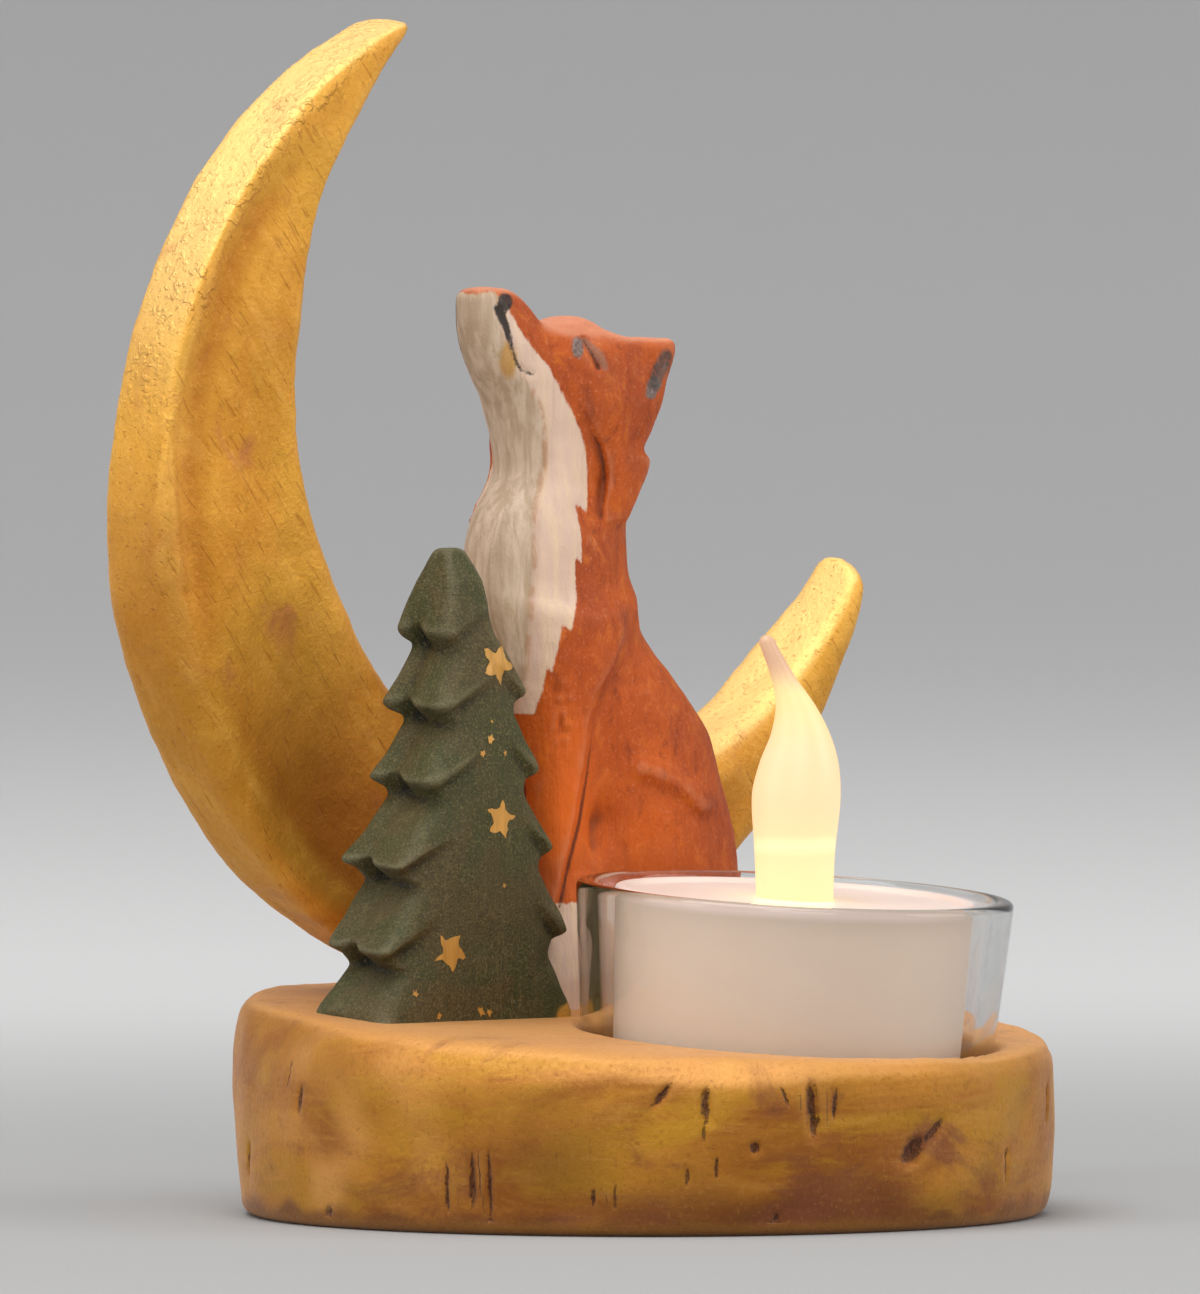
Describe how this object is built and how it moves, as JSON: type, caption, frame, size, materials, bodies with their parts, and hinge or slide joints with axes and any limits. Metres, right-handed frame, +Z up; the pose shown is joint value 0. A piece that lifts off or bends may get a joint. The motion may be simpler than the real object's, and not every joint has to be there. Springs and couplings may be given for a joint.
{
  "type": "tealight holder with a carved fox and moon",
  "caption": "Carved wooden tealight holder: a seated fox, a standing crescent moon and a fir tree on a round base, with a glass cup and an LED tealight that lift out.",
  "frame": {"origin": "centre of the base's underside, on the surface that it stands on", "axes": "+Z up, -Y the ornament's front, +X along the moon's plane towards its lower horn"},
  "size_m": [0.106, 0.086, 0.1262],
  "materials": {
    "gold_painted_wood": "antique gold paint over carved wood, rubbed brown in the low places",
    "fox_painted_wood": "rust, cream and black paint over carved wood",
    "tree_painted_wood": "dark green paint over carved wood, with gold stars",
    "dowel_wood": "plain beech",
    "clear_glass": "clear pressed glass",
    "white_plastic": "white moulded plastic",
    "grey_plastic": "black moulded plastic",
    "flame_plastic": "soft translucent plastic, lit from inside",
    "led_resin": "clear amber resin",
    "steel": "nickel-plated steel"
  },
  "bodies": {
    "figurine": {"base": "gold_painted_wood", "moon": "gold_painted_wood", "fox": "fox_painted_wood", "tree": "tree_painted_wood", "moon_dowels": "dowel_wood", "fox_dowels": "dowel_wood", "tree_dowels": "dowel_wood"},
    "glass": {"glass_cup": "clear_glass"},
    "tealight": {"candle_shell": "white_plastic", "flame_lens": "flame_plastic", "led": "led_resin", "led_leads": "steel", "battery_holder": "white_plastic", "coin_cell": "steel", "positive_contact": "steel", "negative_contact": "steel", "bottom_plate": "white_plastic", "switch_housing": "white_plastic"},
    "switch": {"switch_knob": "grey_plastic"},
    "door": {"battery_door": "white_plastic"}
  },
  "joints": [
    {"name": "glass_lift", "type": "slide", "parent": "figurine", "child": "glass", "axis": [0, -0.0767, 0.9971], "range_m": [0, 0.03]},
    {"name": "tealight_lift", "type": "slide", "parent": "glass", "child": "tealight", "axis": [0, -0.0767, 0.9971], "range_m": [0, 0.03]},
    {"name": "switch_slide", "type": "slide", "parent": "tealight", "child": "switch", "axis": [0, 0.9971, 0.0767], "range_m": [0, 0.003]},
    {"name": "door_turn", "type": "hinge", "parent": "tealight", "child": "door", "pos_m": [0.006, -0.0175, 0.01464], "axis": [0, -0.0767, 0.9971], "range_deg": [0, 40]}
  ]
}
